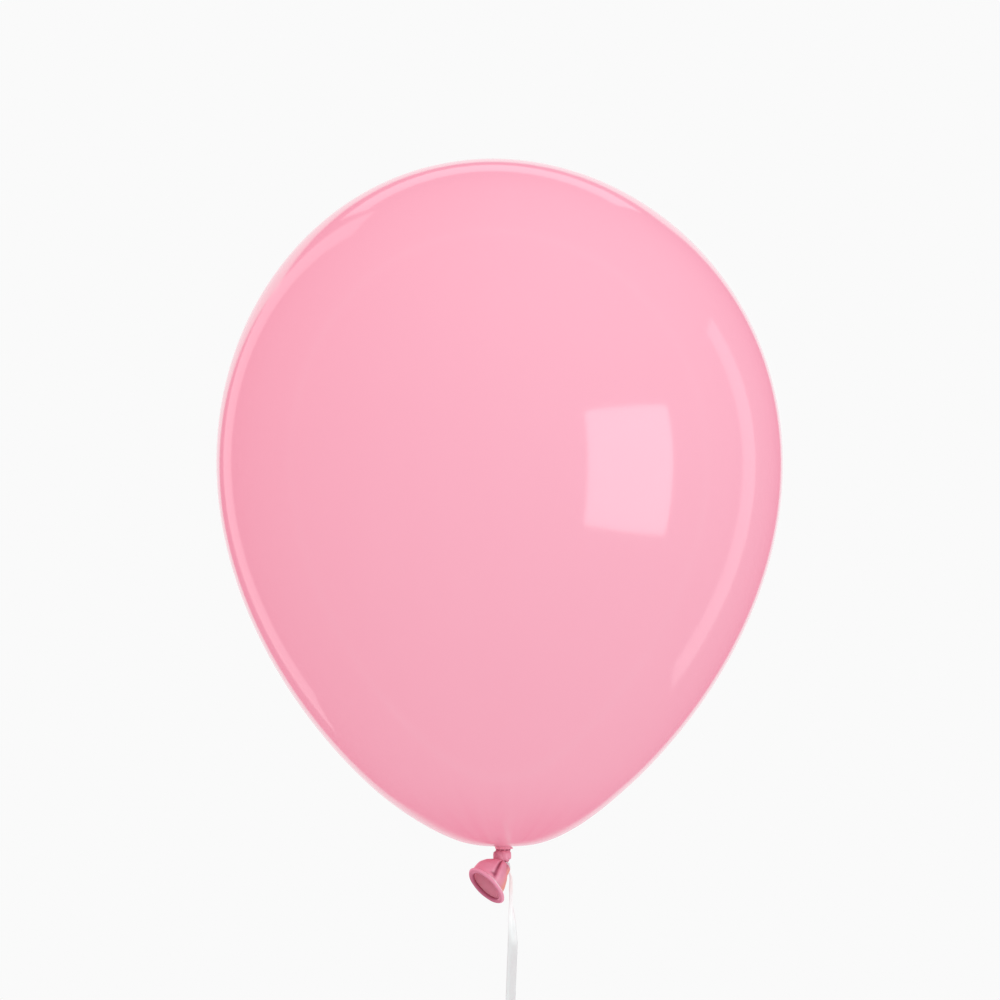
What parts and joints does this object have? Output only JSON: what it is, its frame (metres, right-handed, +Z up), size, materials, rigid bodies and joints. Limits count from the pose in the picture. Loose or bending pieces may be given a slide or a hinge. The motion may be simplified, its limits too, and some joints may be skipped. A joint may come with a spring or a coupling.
{
  "type": "latex balloon",
  "caption": "Round tied latex party balloon, blown up, with its knot, loose flared mouth and a flat ribbon ending in a hand loop.",
  "frame": {"origin": "centre of the neck's waist, where the balloon is tied off between its round film and the knot", "axes": "+Z up through the balloon's crown, -Y the front, with the loose mouth to the left (-X) and forwards, and the ribbon behind it"},
  "size_m": [0.2816, 0.2816, 0.4997],
  "materials": {
    "latex_film": "smooth stretched natural latex, pastel pink, soft gloss",
    "latex_neck": "unstretched natural latex, deeper pink, satin",
    "ribbon": "white polypropylene curling ribbon, satin gloss, fine lengthwise grain"
  },
  "bodies": {
    "balloon": {"envelope": "latex_film", "neck_stem": "latex_neck", "latex_knot": "latex_neck"},
    "tail": {"neck_tail": "latex_neck", "mouth_bead": "latex_neck"},
    "ribbon_tie": {"ribbon_turn": "ribbon"},
    "hitch": {"ribbon_hitch": "ribbon", "hitch_tag": "ribbon"},
    "ribbon": {"ribbon_run": "ribbon", "loop_knot": "ribbon", "loop_tag": "ribbon"},
    "loop": {"hand_loop": "ribbon"}
  },
  "joints": [
    {"name": "tail_swing", "type": "hinge", "parent": "balloon", "child": "tail", "pos_m": [0, 0, -0.0088], "axis": [0, 1, 0], "range_deg": [-15, 30], "stiffness_Nm_per_rad": 0.0002},
    {"name": "ribbon_spin", "type": "hinge", "parent": "balloon", "child": "ribbon_tie", "pos_m": [0, 0, -0.007], "axis": [0, 0, 1], "range_deg": [-30, 45]},
    {"name": "ribbon_swing_back", "type": "hinge", "parent": "ribbon_tie", "child": "hitch", "pos_m": [0.0025, 0.00285, -0.0073], "axis": [1, 0, 0], "range_deg": [0, 75]},
    {"name": "ribbon_swing_side", "type": "hinge", "parent": "hitch", "child": "ribbon", "pos_m": [0.0025, 0.00285, -0.0073], "axis": [0, 1, 0], "range_deg": [-35, 35]},
    {"name": "loop_swing", "type": "hinge", "parent": "ribbon", "child": "loop", "pos_m": [0.00385, 0.0044, -0.091], "axis": [1, 0, 0], "range_deg": [-60, 60]}
  ]
}
